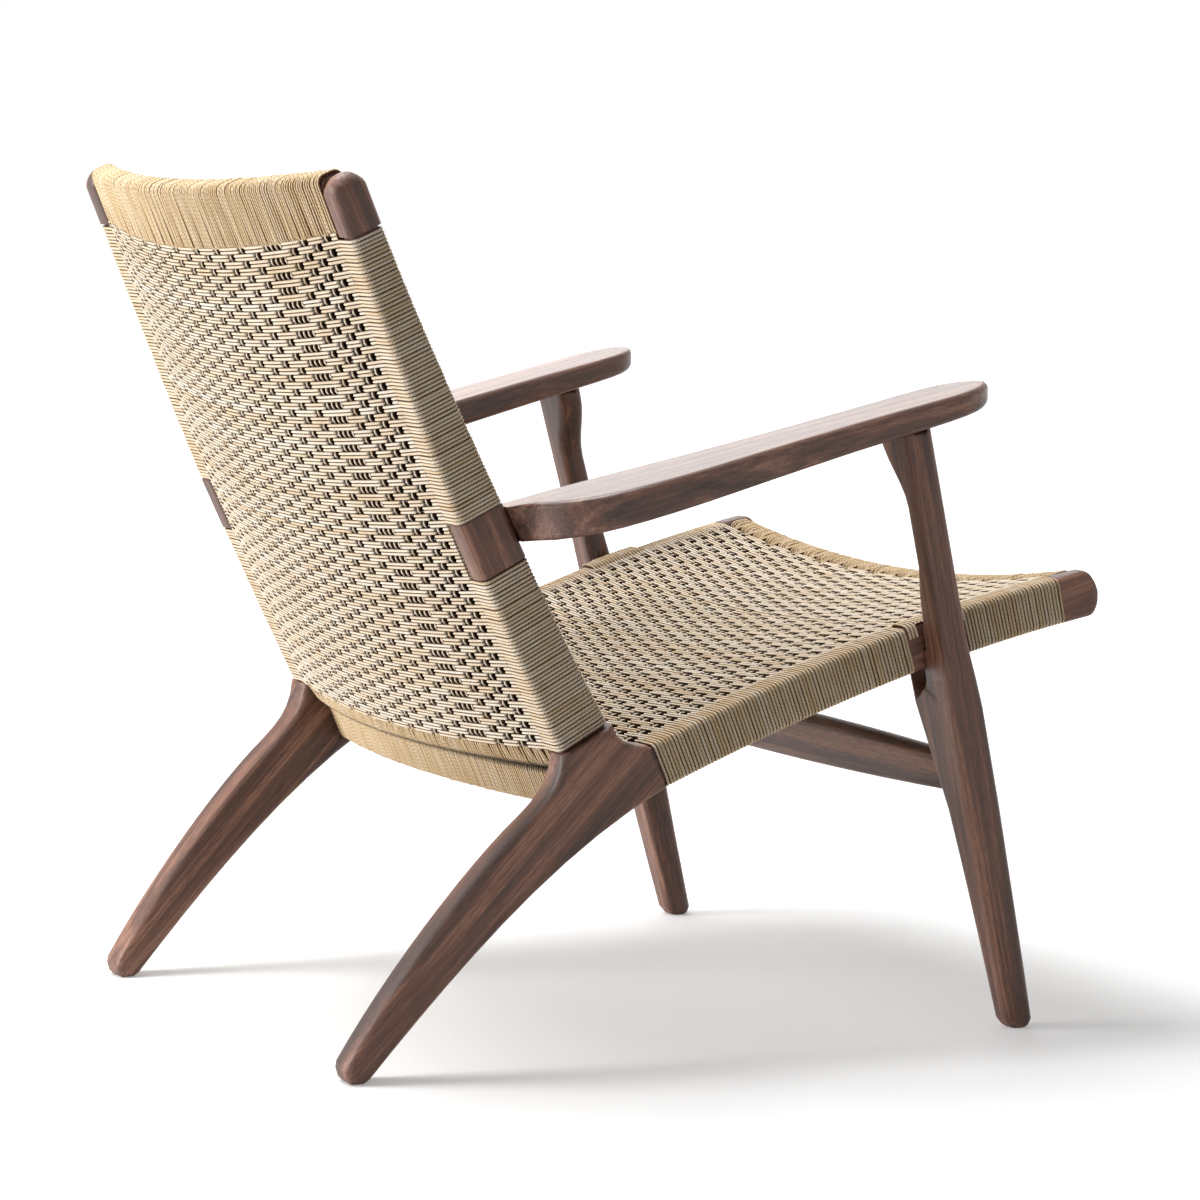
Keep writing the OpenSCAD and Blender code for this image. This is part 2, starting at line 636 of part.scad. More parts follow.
// Ring of a woven layer: across the chair at c, between two distances along up
function layer_ring(c, up, w, narrowing, bow, low, high, n = 6) = [
    for (k = [0:n]) at_layer(2 * k / n - 1, c, up, w, narrowing, bow, high),
    for (k = [n:-1:0]) at_layer(2 * k / n - 1, c, up, w, narrowing, bow, low)];
function at_layer(s, c, up, w, narrowing, bow, h) = let (
    p = c + up * lerp(h[0], h[1], s * s) + bow * (1 - s * s))
    [s * (w - narrowing * up.x * h[1]), p.x, p.y];

// Two crossing cords make up a woven layer
weave_t = 2 * cord_t;
seat_to = place(rail_curve, front_rail_u + front_rail_t / 2 + 1);

// Ring of one of the seat's layers, between two heights over the rails' middle
function seat_ring(t, low, high) = let (
    c = bezier_at(rail_curve, t), way = bezier_way(rail_curve, t),
    w = side_at(c.x) - rail_t / 2 - cord_gap)
    layer_ring(c, -quarter_turn(way), w, toe, lerp(seat_bow, front_bow, t / seat_to),
        [low, low], [high, high]);
function behind_ring(back, low, high) = let (c = seam - rail_way * back)
    layer_ring(c, rail_up, side_at(c.x) - leg_in - leg_t / 2 - cord_gap, toe, seat_bow,
        [low, low], [high, high]);

module seat_layer(low, high) loft(strip_ends = true, rings = concat(
    [for (back = [rear_rail_back - back_rail_t / 2 - cord_gap, -1]) behind_ring(back, low, high)],
    [for (k = [0:8]) seat_ring(lerp(0.009, seat_to, k / 8), low, high)]));

// Room in the lower layer for the horn of each front leg
notch_gap = 2;
module horn_notch() translate([slot_low - notch_gap, leg_y(slot_z) - leg_depth, slot_z - flare])
    cube([rail_t + 2 * horn_t, 2.2 * leg_depth, horn_h + flare + notch_gap]);

module seat_weave_top() color(cord_pale) placed() seat_layer(rail_h / 2 - weave_t, rail_h / 2);
module seat_weave_bottom() color(cord_tan) placed() difference() {
    seat_layer(-rail_h / 2, -rail_h / 2 + weave_t);
    both_sides() horn_notch();
}

// Ring of one of the back's layers, by distances in front of the posts' middle
function back_ring(t, low, high) = let (way = bezier_way(post_curve, t))
    layer_ring(bezier_at(post_curve, t), quarter_turn(way), post_in - cord_gap, 0,
        lerp(bottom_bow, top_bow, t), low, high);
back_from = 0.02;
back_to = 0.87;

module back_weave_front() color(cord_pale) placed() loft(strip_ends = true, rings = [for (k = [0:8]) let (
    t = lerp(back_from, back_to, k / 8), mid = back_rail_t / 2 - lerp(bottom_inset, top_inset, t), side = post_w(t) / 2)
    back_ring(t, [mid - weave_t, side - weave_t], [mid, side])]);
module back_weave_rear() color(cord_pale) placed() loft(strip_ends = true, rings = [for (k = [0:8]) let (
    t = lerp(back_from, back_to, k / 8), mid = back_rail_t / 2 + lerp(bottom_inset, top_inset, t), side = post_w(t) / 2)
    back_ring(t, [-mid, -side], [-mid + weave_t, -side + weave_t])]);

// ---- dowels ----

module dowels(d, l, places) for (p = places) translate([p.x, p.y, -l / 2]) cylinder(d = d, h = l, $fn = 32);

module side_rail_dowels_at(d, l) in_side_plane() past_seam() dowels(d, l, [[0, -9], [0, 9]]);
module post_foot_dowels_at(d, l) above_post_foot() dowels(d, l, [[0, -11], [0, 11]]);
module rear_rail_dowels_at(d, l) across_joint(rear_half, rear_end, rear_lean) dowels(d, l, [[-8, 2], [8, 2]]);
module front_rail_dowels_at(d, l) across_joint(front_half, front_end, front_lean) dowels(d, l, [[-6.5, 0], [9.5, 0]]);
module bottom_rail_dowels_at(d, l) across_joint(post_in - dowel_l / 4, bottom_end, -bottom_lean)
    dowels(d, l, [[-3.8, 2.8], [5.3, 2.8]]);
module top_rail_dowels_at(d, l) across_joint(post_in, top_end, -top_lean) dowels(d, l, [[-13, 2], [13, 2]]);
module armrest_dowels_at(d, l) at_arm_root() dowels(d, l, [[0, -7], [0, 7]]);
module fork_dowels_at(d, l) in_side_plane() across_joint(rail_t / 2 + slot_gap / 2,
    bezier_at(rail_curve, place(rail_curve, leg_u)), slot_slope) dowels(d, l, [[-8, 0], [8, 0]]);

// Turns z to point outwards along x, from the end of a member across the chair
module across_joint(x, end, lean) translate([x, end.x, end.y]) rotate([-lean, 0, 0])
    rotate([0, 90, 0]) children();

module dowel_pairs() color(maple) placed() both_sides() children();
module side_rail_dowels() dowel_pairs() side_rail_dowels_at(dowel_d, dowel_l);
module post_foot_dowels() dowel_pairs() post_foot_dowels_at(dowel_d, dowel_l);
module rear_rail_dowels() dowel_pairs() rear_rail_dowels_at(dowel_d, dowel_l);
module front_rail_dowels() dowel_pairs() front_rail_dowels_at(dowel_d, dowel_l);
module bottom_rail_dowels() dowel_pairs() bottom_rail_dowels_at(dowel_d, dowel_l);
module top_rail_dowels() dowel_pairs() top_rail_dowels_at(dowel_d, dowel_l);
module armrest_dowels() dowel_pairs() armrest_dowels_at(dowel_d, dowel_l);
module fork_dowels() dowel_pairs() fork_dowels_at(dowel_d, dowel_l);

// ---- nodes ----

module rear_leg_left() rear_leg(1);
module rear_leg_right() rear_leg(-1);
module seat_side_rail_left() seat_side_rail(1);
module seat_side_rail_right() seat_side_rail(-1);
module front_leg_left() front_leg(1);
module front_leg_right() front_leg(-1);
module back_post_left() back_post(1);
module back_post_right() back_post(-1);
module seat_rail_wrap_left() seat_rail_wrap(1);
module seat_rail_wrap_right() seat_rail_wrap(-1);
module post_wrap_left() post_wrap(1);
module post_wrap_right() post_wrap(-1);
module armrest_left() armrest(1);
module armrest_right() armrest(-1);

rear_leg_left();
rear_leg_right();
front_leg_left();
front_leg_right();
seat_side_rail_left();
seat_side_rail_right();
seat_front_rail();
seat_rear_rail();
back_post_left();
back_post_right();
back_top_rail();
back_bottom_rail();
front_stretcher();
armrest_left();
armrest_right();
side_rail_dowels();
post_foot_dowels();
rear_rail_dowels();
front_rail_dowels();
bottom_rail_dowels();
top_rail_dowels();
armrest_dowels();
fork_dowels();
seat_weave_top();
seat_weave_bottom();
seat_rail_wrap_left();
seat_rail_wrap_right();
front_rail_wrap();
rear_rail_wrap();
back_weave_front();
back_weave_rear();
post_wrap_left();
post_wrap_right();
top_rail_wrap();
bottom_rail_wrap();
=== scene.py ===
"""A low lounge armchair: an oiled walnut frame with forked front legs and raked arms.
Its seat and back are wound and woven, in two layers each, from twisted paper cord."""

import math

import bpy
import numpy as np
from mathutils import Matrix, Vector


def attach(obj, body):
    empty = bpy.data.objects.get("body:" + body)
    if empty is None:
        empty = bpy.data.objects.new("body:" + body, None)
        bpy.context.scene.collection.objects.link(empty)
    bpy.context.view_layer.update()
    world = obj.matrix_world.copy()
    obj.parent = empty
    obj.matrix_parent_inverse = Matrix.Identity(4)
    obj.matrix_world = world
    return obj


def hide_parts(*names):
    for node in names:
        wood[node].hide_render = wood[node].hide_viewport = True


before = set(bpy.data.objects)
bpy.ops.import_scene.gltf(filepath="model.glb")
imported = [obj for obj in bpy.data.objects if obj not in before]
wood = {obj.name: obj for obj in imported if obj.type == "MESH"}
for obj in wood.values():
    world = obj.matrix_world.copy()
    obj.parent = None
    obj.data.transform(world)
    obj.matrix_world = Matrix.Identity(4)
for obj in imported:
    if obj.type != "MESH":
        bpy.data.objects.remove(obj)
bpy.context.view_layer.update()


# ---- Camera ----
# A long lens, just higher than the chair's back, looks at it from behind its right-hand
# side. Its place is measured from the floor under the middle of the chair's box.

camera = bpy.data.objects.new("camera", bpy.data.cameras.new("camera"))
bpy.context.scene.collection.objects.link(camera)
bpy.context.scene.camera = camera
camera.data.lens = 133.77
camera.data.sensor_width = 36
camera.data.clip_end = 50
turn = math.radians(-27.13)
dip = math.radians(6.10)
ahead = Vector((math.cos(dip) * math.cos(turn), math.cos(dip) * math.sin(turn), -math.sin(dip)))
across = ahead.cross(Vector((0, 0, 1))).normalized()
upward = across.cross(ahead)
camera.matrix_world = Matrix.Translation(Vector((-3.484, 1.744, 0.767))) @ Matrix(
    (across, upward, -ahead)).transposed().to_4x4()


# ---- Walnut members ----
# Legs, posts, rails, stretcher and arms are sawn and shaped from solid American walnut,
# sanded fine and oiled. The grain runs along each member, dark brown with paler streaks.

def colour(code):
    """The linear colour of an sRGB hex code."""
    parts = [int(code[k:k + 2], 16) / 255 for k in (1, 3, 5)]
    return tuple(p / 12.92 if p <= 0.04045 else ((p + 0.055) / 1.055) ** 2.4 for p in parts) + (1,)


def add(material, kind, settings=(), links=()):
    """A new node with its settings and the links into it. A name of an input or an
    attribute, or an input's number, goes with its value or with the socket it takes."""
    node = material.node_tree.nodes.new(kind)
    for name, value in dict(settings).items():
        if isinstance(name, str) and hasattr(node, name):
            setattr(node, name, value)
        else:
            node.inputs[name].default_value = value
    for name, socket in dict(links).items():
        material.node_tree.links.new(socket, node.inputs[name])
    return node


def stops(ramp, places):
    """Sets a colour ramp's stops from places and hex codes."""
    while len(ramp.color_ramp.elements) < len(places):
        ramp.color_ramp.elements.new(0.5)
    for element, (place, code) in zip(ramp.color_ramp.elements, places):
        element.position = place
        element.color = colour(code)


def new_material(name):
    """An empty material, with its shader and output linked."""
    material = bpy.data.materials.new(name)
    material.use_nodes = True
    material.node_tree.nodes.clear()
    shader = add(material, "ShaderNodeBsdfPrincipled")
    add(material, "ShaderNodeOutputMaterial", links={"Surface": shader.outputs["BSDF"]})
    return material, shader


def oiled_walnut(name, grain, place, satin):
    """Walnut whose grain runs along one direction. An oiled, sanded surface has a soft
    satin sheen, and hands keep the arms smoother; growth rings give bands up to 20 mm wide,
    and open pores fine dark dashes. place sets one board apart from the next, and satin is
    the lowest roughness."""
    material, shader = new_material(name)
    along = Vector((1, 0, 0)).rotation_difference(Vector(grain)).inverted().to_euler()
    spot = add(material, "ShaderNodeTexCoord")
    turned = add(material, "ShaderNodeMapping", {"Rotation": along, "Location": place},
                 {"Vector": spot.outputs["Object"]})
    # growth rings: long bands along the grain, 16 to 21 mm across, with finer ones in them
    rings = add(material, "ShaderNodeMapping", {"Scale": (2.2, 62, 48)},
                {"Vector": turned.outputs["Vector"]})
    bands = add(material, "ShaderNodeTexNoise",
                {"Scale": 1, "Detail": 3, "Roughness": 0.55, "Distortion": 0.6},
                {"Vector": rings.outputs["Vector"]})
    # streaks of about 2.5 mm between them
    fine = add(material, "ShaderNodeMapping", {"Scale": (9, 420, 380)},
               {"Vector": turned.outputs["Vector"]})
    streaks = add(material, "ShaderNodeTexNoise", {"Scale": 1, "Detail": 4, "Roughness": 0.6},
                  {"Vector": fine.outputs["Vector"]})
    # pores: dashes 0.8 mm by 12 mm, drawn coarser than real ones so that they show
    pitted = add(material, "ShaderNodeMapping", {"Scale": (80, 1250, 1250)},
                 {"Vector": turned.outputs["Vector"]})
    pores = add(material, "ShaderNodeTexNoise", {"Scale": 1, "Detail": 1},
                {"Vector": pitted.outputs["Vector"]})
    mixed = add(material, "ShaderNodeMath", {"operation": "MULTIPLY_ADD", 1: 0.6},
                {0: streaks.outputs["Fac"], 2: bands.outputs["Fac"]})
    tone = add(material, "ShaderNodeValToRGB", links={"Fac": mixed.outputs["Value"]})
    stops(tone, [(0.56, "#382019"), (0.72, "#573a2d"), (0.83, "#6e493a"), (0.98, "#956b56")])
    dots = add(material, "ShaderNodeMapRange",
               {"From Min": 0.36, "From Max": 0.52, "To Min": 0.62, "To Max": 1},
               {"Value": pores.outputs["Fac"]})
    shade = add(material, "ShaderNodeMix", {"data_type": "RGBA", "blend_type": "MULTIPLY", 0: 1},
                {6: tone.outputs["Color"], 7: dots.outputs["Result"]})
    material.node_tree.links.new(shade.outputs[2], shader.inputs["Base Color"])
    gloss = add(material, "ShaderNodeMapRange", {"To Min": satin, "To Max": satin + 0.15},
                {"Value": streaks.outputs["Fac"]})
    material.node_tree.links.new(gloss.outputs["Result"], shader.inputs["Roughness"])
    bump = add(material, "ShaderNodeBump", {"Strength": 0.4, "Distance": 0.0004},
               {"Height": dots.outputs["Result"]})
    material.node_tree.links.new(bump.outputs["Normal"], shader.inputs["Normal"])
    return material


walnut_nodes = [
    "rear_leg_left", "rear_leg_right", "front_leg_left", "front_leg_right",
    "seat_side_rail_left", "seat_side_rail_right", "seat_front_rail", "seat_rear_rail",
    "back_post_left", "back_post_right", "back_top_rail", "back_bottom_rail",
    "front_stretcher", "armrest_left", "armrest_right"]

for count, name in enumerate(walnut_nodes):
    member = wood[name]
    points = np.array([v.co for v in member.data.vertices])
    length_way = np.linalg.svd(points - points.mean(0), full_matrices=False)[2][0]
    satin = 0.27 if name.startswith("armrest") else 0.4
    member.data.materials.clear()
    member.data.materials.append(oiled_walnut(
        "oiled_walnut_" + name, length_way, (0.31 * count, 0.17 * count, 0.07 * count), satin))
    weld = member.modifiers.new("weld", "WELD")
    weld.merge_threshold = 0.00002
    for face in member.data.polygons:
        face.use_smooth = True
    normals = member.modifiers.new("normals", "WEIGHTED_NORMAL")
    normals.weight = 80
    normals.keep_sharp = True


# ---- Dowels ----
# Turned maple pegs, 8 mm thick, are glued into both members of each joint, two to a
# joint. They are hidden inside the wood and left raw.

raw_maple, maple_shader = new_material("raw_turned_maple")
maple_spot = add(raw_maple, "ShaderNodeTexCoord")
maple_grain = add(raw_maple, "ShaderNodeTexNoise", {"Scale": 400, "Detail": 3},
                  {"Vector": maple_spot.outputs["Object"]})
maple_tone = add(raw_maple, "ShaderNodeValToRGB", links={"Fac": maple_grain.outputs["Fac"]})
stops(maple_tone, [(0.35, "#cdb182"), (0.65, "#e0c99d")])
raw_maple.node_tree.links.new(maple_tone.outputs["Color"], maple_shader.inputs["Base Color"])
maple_shader.inputs["Roughness"].default_value = 0.6
for name in sorted(wood):
    if name.endswith("dowels"):
        wood[name].data.materials.clear()
        wood[name].data.materials.append(raw_maple)


# ---- Post windings ----
# Twisted paper cord, 3 mm thick, is wound turn by turn round both back posts. It leaves
# a bare window where the arm meets the post. These turns also make the ends of the weft.

# millimetres: depth is measured from a line 17 mm in front of the frame's middle
mid_y = 17.0
cord_r = 1.52
cord_pitch = 3.2
# the turns' middle line lies this far below a winding's surface
inset = 1.6
# depth and height of the posts' middle line, and the part of it that the window takes
post_curve = np.array([[130.5, 268], [206, 409.9], [282, 580.2], [341, 728]])
window = (0.318, 0.415)
# how far out the posts' middle planes stand, how thick the posts are, and their inner faces
post_x, post_w = 263.5, 27
post_in = post_x - post_w / 2
post_round = 5.4


def on_curve(curve, t):
    """Points of a cubic curve at places from 0 to 1."""
    t = np.asarray(t, float)[..., None]
    s = 1 - t
    return (s ** 3 * curve[0] + 3 * s * s * t * curve[1]
            + 3 * s * t * t * curve[2] + t ** 3 * curve[3])


def way_on_curve(curve, t):
    """Unit directions of the same curve."""
    t = np.asarray(t, float)[..., None]
    s = 1 - t
    way = (s * s * (curve[1] - curve[0]) + 2 * s * t * (curve[2] - curve[1])
           + t * t * (curve[3] - curve[2]))
    return way / np.linalg.norm(way, axis=-1, keepdims=True)


def evenly(curve, start, end):
    """Places on a curve, a cord's pitch apart, from start to end; an even number of them."""
    t = np.linspace(start, end, 400)
    steps = np.linalg.norm(np.diff(on_curve(curve, t), axis=0), axis=1)
    length = np.concatenate([[0], np.cumsum(steps)])
    count = 2 * int(round(length[-1] / cord_pitch / 2))
    return np.interp((np.arange(count) + 0.5) * length[-1] / count, length, t)


def quarter(way):
    """A direction turned by a quarter, to the left."""
    return np.stack([-way[..., 1], way[..., 0]], -1)


def placed(x, yz):
    """Points of the chair from x across and a pair of depth and height."""
    return np.stack(np.broadcast_arrays(x, yz[..., 0], yz[..., 1]), -1)


# one fixed source of chance, so that each run lays the same cord
chance = np.random.default_rng(7)


# the windings are given lower, darker tones than the woven sheets of the same cord, as painted
# shade
def twisted_cord(name, node, groups, sides=6, tone=0.12):
    """One mesh of many cords. Each group is an array of paths, one row of points for each
    cord, directions out of the winding, how dark each point is painted, 0 to 1, as painted
    shade, and whether the paths are closed. Its map runs along the cord in metres, and once
    round it. A higher tone is paler."""
    tone_spread = 0.08
    points, corners, along = [], [], []
    tones, painted_dark_values = [], []
    base = 0
    angle = 2 * np.pi * np.arange(sides) / sides
    for paths, outs, painted_dark, closed in groups:
        # n cords of m points each
        n, m = paths.shape[:2]
        if closed:
            ways = np.roll(paths, -1, 1) - np.roll(paths, 1, 1)
        else:
            ways = np.gradient(paths, axis=1)
        ways = ways / np.linalg.norm(ways, axis=-1, keepdims=True)
        side = np.cross(ways, outs)
        side = side / np.linalg.norm(side, axis=-1, keepdims=True)
        out = np.cross(side, ways)
        ring = paths[:, :, None] + cord_r * (
            np.cos(angle)[:, None] * out[:, :, None] + np.sin(angle)[:, None] * side[:, :, None])
        points.append(ring.reshape(-1, 3))
        last = m if closed else m - 1
        i, j = np.meshgrid(np.arange(last), np.arange(sides), indexing="ij")
        i2, j2 = (i + 1) % m, (j + 1) % sides
        quad = np.stack([i * sides + j, i * sides + j2, i2 * sides + j2, i2 * sides + j], -1)
        before = base + np.arange(n) * m * sides
        corners.append((quad.reshape(-1, 4) + before[:, None, None]).reshape(-1, 4))
        step = np.linalg.norm(np.roll(paths, -1, 1) - paths, axis=-1)
        length = np.concatenate([np.zeros((n, 1)), np.cumsum(step, 1)], 1) / 1000
        length = length + chance.random((n, 1))
        u = np.stack([length[:, i], length[:, i], length[:, i + 1], length[:, i + 1]], -1)
        v = np.stack([j, j + 1, j + 1, j], -1)[None] / sides
        along.append(np.stack(np.broadcast_arrays(u, v), -1).reshape(-1, 2))
        tones.append(np.repeat(chance.normal(tone, tone_spread, n), m * sides))
        painted_dark_values.append(np.repeat(np.broadcast_to(painted_dark, (n, m)).ravel(), sides))
        base += n * m * sides
    points = np.concatenate(points) / 1000 - np.array([0, mid_y / 1000, 0])
    corners = np.concatenate(corners)
    mesh = bpy.data.meshes.new(name)
    mesh.vertices.add(len(points))
    mesh.vertices.foreach_set("co", points.ravel())
    mesh.loops.add(corners.size)
    mesh.loops.foreach_set("vertex_index", corners.ravel())
    mesh.polygons.add(len(corners))
    mesh.polygons.foreach_set("loop_start", np.arange(len(corners)) * 4)
    mesh.update(calc_edges=True)
    mesh.uv_layers.new(name="Cord").data.foreach_set("uv", np.concatenate(along).ravel())
    for label, values in (("tone", tones), ("painted_dark", painted_dark_values)):
        layer = mesh.attributes.new(label, "FLOAT", "POINT")
        layer.data.foreach_set("value", np.concatenate(values))
    mesh.shade_smooth()
    mesh.materials.append(paper_cord)
    piece = bpy.data.objects.new(name, mesh)
    bpy.context.scene.collection.objects.link(piece)
    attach(piece, "root")
    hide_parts(node)


# Three plies of kraft paper, twisted and a little waxed: pale tan, matt, with slanting
# grooves where the plies meet, and a tone that varies from cord to cord. Its sides, between
# the turns, and the cord deep in the weave are painted dark, as painted shade.
ply_count = 3
# metres of cord to one turn of its twist
twist_length = 0.0105
paper_cord, cord_shader = new_material("twisted_paper_cord")
cord_map = add(paper_cord, "ShaderNodeUVMap", {"uv_map": "Cord"})
cord_axes = add(paper_cord, "ShaderNodeSeparateXYZ", links={"Vector": cord_map.outputs["UV"]})
cord_turns = add(paper_cord, "ShaderNodeMath", {"operation": "MULTIPLY_ADD", 1: 1 / twist_length},
                 {0: cord_axes.outputs["X"], 2: cord_axes.outputs["Y"]})
cord_phase = add(paper_cord, "ShaderNodeMath", {"operation": "MULTIPLY", 1: math.tau * ply_count},
                 {0: cord_turns.outputs["Value"]})
cord_wave = add(paper_cord, "ShaderNodeMath", {"operation": "SINE"},
                {0: cord_phase.outputs["Value"]})
cord_ply = add(paper_cord, "ShaderNodeMapRange", {"From Min": -1, "From Max": 0.1, "To Min": 0.62},
               {"Value": cord_wave.outputs["Value"]})
# painted shade on the cord's sides: 1 on its outer side, 0 between two turns
cord_round = add(paper_cord, "ShaderNodeMath", {"operation": "MULTIPLY", 1: math.tau},
                 {0: cord_axes.outputs["Y"]})
cord_out = add(paper_cord, "ShaderNodeMath", {"operation": "COSINE"},
               {0: cord_round.outputs["Value"]})
cord_side_shade = add(paper_cord, "ShaderNodeMapRange", {"From Min": 0.05, "From Max": 0.8},
                {"Value": cord_out.outputs["Value"]})
cord_plies_and_side_shade = add(paper_cord, "ShaderNodeMath", {"operation": "MULTIPLY"},
                 {0: cord_ply.outputs["Result"], 1: cord_side_shade.outputs["Result"]})
cord_spot = add(paper_cord, "ShaderNodeTexCoord")
cord_fade = add(paper_cord, "ShaderNodeTexNoise", {"Scale": 45, "Detail": 2},
                {"Vector": cord_spot.outputs["Object"]})
cord_own = add(paper_cord, "ShaderNodeAttribute", {"attribute_name": "tone"})
cord_sum = add(paper_cord, "ShaderNodeMath", {"operation": "MULTIPLY_ADD", 1: 0.5},
               {0: cord_fade.outputs["Fac"], 2: cord_own.outputs["Fac"]})
cord_tone = add(paper_cord, "ShaderNodeValToRGB", links={"Fac": cord_sum.outputs["Value"]})
stops(cord_tone, [(0.2, "#d6b98d"), (0.42, "#e1c7a1"), (0.75, "#f1e0c8"), (1.0, "#f8efdf")])
# one brown for the grooves between the plies and for the painted shade on the cord's sides
cord_groove_and_side_shade = add(paper_cord, "ShaderNodeMix", {"data_type": "RGBA", 6: colour("#66452a")},
                  {0: cord_plies_and_side_shade.outputs["Value"], 7: cord_tone.outputs["Color"]})
# painted shade: the cord is mixed towards near black as far as the attribute of how dark it is
# painted says
cord_painted_dark = add(paper_cord, "ShaderNodeAttribute", {"attribute_name": "painted_dark"})
cord_with_painted_shade = add(paper_cord, "ShaderNodeMix", {"data_type": "RGBA", 7: colour("#1c130b")},
                 {0: cord_painted_dark.outputs["Fac"], 6: cord_groove_and_side_shade.outputs[2]})
paper_cord.node_tree.links.new(cord_with_painted_shade.outputs[2], cord_shader.inputs["Base Color"])
cord_bump = add(paper_cord, "ShaderNodeBump", {"Strength": 0.9, "Distance": 0.0006},
                {"Height": cord_plies_and_side_shade.outputs["Value"]})
paper_cord.node_tree.links.new(cord_bump.outputs["Normal"], cord_shader.inputs["Normal"])
cord_shader.inputs["Roughness"].default_value = 0.72
cord_shader.inputs["Specular IOR Level"].default_value = 0.3


# points to each round corner of a turn
corner_steps = 5


def rounded(w, h, r, start, end):
    """Part of a rectangle w by h with round corners, as points and outward directions,
    between two corners' numbers: 0 is at +w +h, and they go on anticlockwise."""
    spots, ways = [], []
    for corner in range(start, end):
        sx = 1 if corner % 4 in (0, 3) else -1
        sy = 1 if corner % 4 < 2 else -1
        for a in np.radians(90 * (corner % 4) + np.linspace(2, 88, corner_steps)):
            spots.append([sx * (w / 2 - r) + r * math.cos(a), sy * (h / 2 - r) + r * math.sin(a)])
            ways.append([math.cos(a), math.sin(a)])
    return np.array(spots), np.array(ways)


def post_width(t):
    """The posts' width, front to back, at places on their curve."""
    return np.interp(t, [0, 0.25, 0.43, 0.78, 0.92, 1], [51, 45, 43.5, 32.9, 31, 31])


back_rows = evenly(post_curve, 0.004, 0.896)
# painted shade on the cord's outer face, between the two outer corners
outer_face_shade = np.array([0, 0, 0, 0, 0.05, 0.14, 0.2, 0.2, 0.14, 0.05, 0, 0, 0, 0])


def group(turns, painted_dark, closed=False):
    """A group for twisted_cord, from pairs of a path and its outward directions."""
    paths = np.array([path for path, out in turns])
    outs = np.array([out for path, out in turns])
    return paths, outs, painted_dark, closed


def outer_turn(w, h, r, inner, edge):
    """An open turn over the outer face of a bar, w by h along the cord's middle line:
    points and directions from one side of the bar round to the other. It starts at edge
    and passes inner."""
    spots, ways = rounded(w, h, r, 3, 5)
    spots = np.concatenate([[[edge, -h / 2], [inner, -h / 2]], spots,
                            [[inner, h / 2], [edge, h / 2]]])
    return spots, np.concatenate([[[0, -1], [0, -1]], ways, [[0, 1], [0, 1]]])


def post_winding(sign):
    """Turns round one post, from the rear sheet round its outer face to the front sheet."""
    turns = []
    wound = back_rows[(back_rows < window[0]) | (back_rows > window[1])]
    # no two turns lie quite alike, in place or in depth
    for t in wound + chance.normal(0, 0.0003, len(wound)):
        depth = post_width(t) - 2 * inset + chance.normal(0, 0.25)
        spots, ways = outer_turn(post_w - 2 * inset, depth, post_round, -3, -post_w / 2)
        mid, out = on_curve(post_curve, t), quarter(way_on_curve(post_curve, t))
        turns.append((placed(sign * (post_x + spots[:, 0]), mid + spots[:, 1:] * out),
                      placed(sign * ways[:, 0], ways[:, 1:] * out)))
    # the outer face of these turns gets painted shade
    return group(turns, outer_face_shade)


def post_window(sign):
    """Turns beside the window, which pass between the sheets on the post's inner face."""
    beside_x, beside_w, beside_round = post_x - 16.8, 6, 2.5
    turns = []
    for t in back_rows[(back_rows >= window[0]) & (back_rows <= window[1])]:
        spots, ways = rounded(beside_w, post_width(t) - 2 * inset, beside_round, 3, 5)
        mid, out = on_curve(post_curve, t), quarter(way_on_curve(post_curve, t))
        turns.append((placed(sign * (beside_x + spots[:, 0]), mid + spots[:, 1:] * out),
                      placed(sign * ways[:, 0], ways[:, 1:] * out)))
    return group(turns, 0)


for sign, side in ((1, "left"), (-1, "right")):
    twisted_cord("post_winding_" + side, "post_wrap_" + side,
                 [post_winding(sign), post_window(sign)], tone=0.38)


# ---- Back weave ----
# Two sheets of the same cord, one flush with the front and one with the rear of the
# posts. Pairs of weft cross over and under narrow groups of warp, like brickwork.

bottom_bow = np.array([29.0, -4.0])
top_bow = -quarter(way_on_curve(post_curve, 1)) * 29
# the rows go on for one more pair, behind the edge of the top rail's winding
row_step = back_rows[-1] - back_rows[-2]
sheet_rows = np.append(back_rows, back_rows[-1] + np.array([1, 2]) * row_step)
# the middles of the warps, unevenly spread as hands lay them, and the one of four strands
back_warps = [-235, -219, -202, -184, -154, -125, -101, -78, -55, -34, -14, 9, 32, 55, 78, 97,
              117, 139, 161, 183, 206, 224, 240]
wide_warp = -154
# depths of the weft over and under a warp, and the length of the slope between them
over_depth, under_depth = 1.5, 8.8
dive = 3.6
# depths of a warp strand under a pair of rows and between two pairs, and of the sunk
# strand between them
warp_low, warp_high = 4.7, 2.6
sunk_high = 5.4
# the rows' own sag in the middle, and about the length of the posts' curve
row_sag = 8.5
post_length = 507.0


def back_sheet(side):
    """A function that gives points of the front (+1) or rear (-1) sheet, at places from -1
    to 1 across and 0 to 1 up the posts' curve, a depth below its outer surface. The rows
    hang a little lower in the middle."""
    def spot(s, t, depth):
        t = t - row_sag / post_length * (1 - s * s)
        way = way_on_curve(post_curve, t)
        # distance of the sheet's middle from the posts' middle line
        middle = 3.5 + 5.5 * t if side > 0 else 20.5 - 5.5 * t
        high = middle + (post_width(t) / 2 - middle) * s * s - depth
        bow = bottom_bow + (top_bow - bottom_bow) * t[..., None]
        yz = (on_curve(post_curve, t) + side * quarter(way) * high[..., None]
              + bow * (1 - s * s)[..., None])
        return placed(s * post_in, yz)
    return spot


